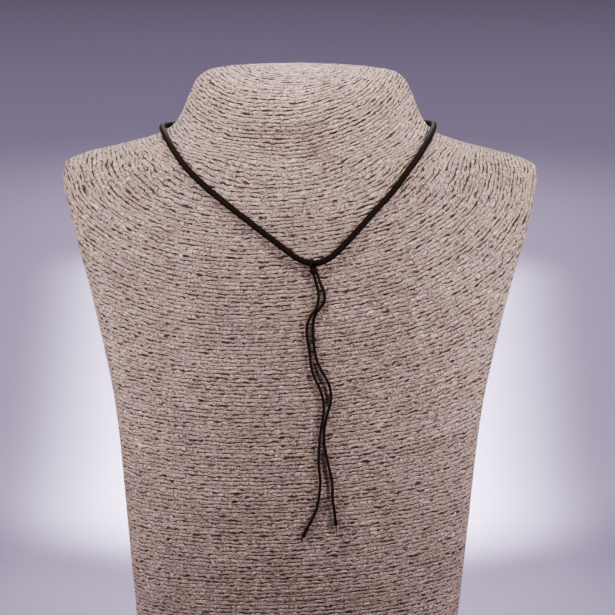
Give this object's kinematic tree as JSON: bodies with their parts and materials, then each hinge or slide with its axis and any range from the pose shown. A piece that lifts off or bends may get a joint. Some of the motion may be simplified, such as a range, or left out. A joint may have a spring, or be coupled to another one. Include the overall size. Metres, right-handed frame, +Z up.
{
  "type": "cord necklace on neck bust",
  "caption": "Black round cord necklace with a thin cord hitched at its low point and hanging in two long tails, lying in a V on a plain twine-wound neck bust.",
  "frame": {"origin": "bottom centre of the bust's box, on the surface that it stands on", "axes": "+Z up along the bust's neck, -Y out of its front towards the viewer, +X across the shoulders to the viewer's right"},
  "size_m": [0.25, 0.1067, 0.306],
  "materials": {
    "twine": "natural jute twine wound in close rows, dusty brown",
    "thick_cord": "black braided cord, smooth, low sheen",
    "thin_cord": "thin black waxed cord, low sheen",
    "sealed_end": "black cord ends, sealed thick",
    "clasp": "dark satin metal"
  },
  "bodies": {
    "root": {"neck_bust": "twine", "neck_cord": "thick_cord", "centre_knot": "thin_cord", "left_tail": "thin_cord", "right_tail": "thin_cord", "left_tail_end": "sealed_end", "right_tail_end": "sealed_end", "back_clasp": "clasp"}
  },
  "joints": []
}
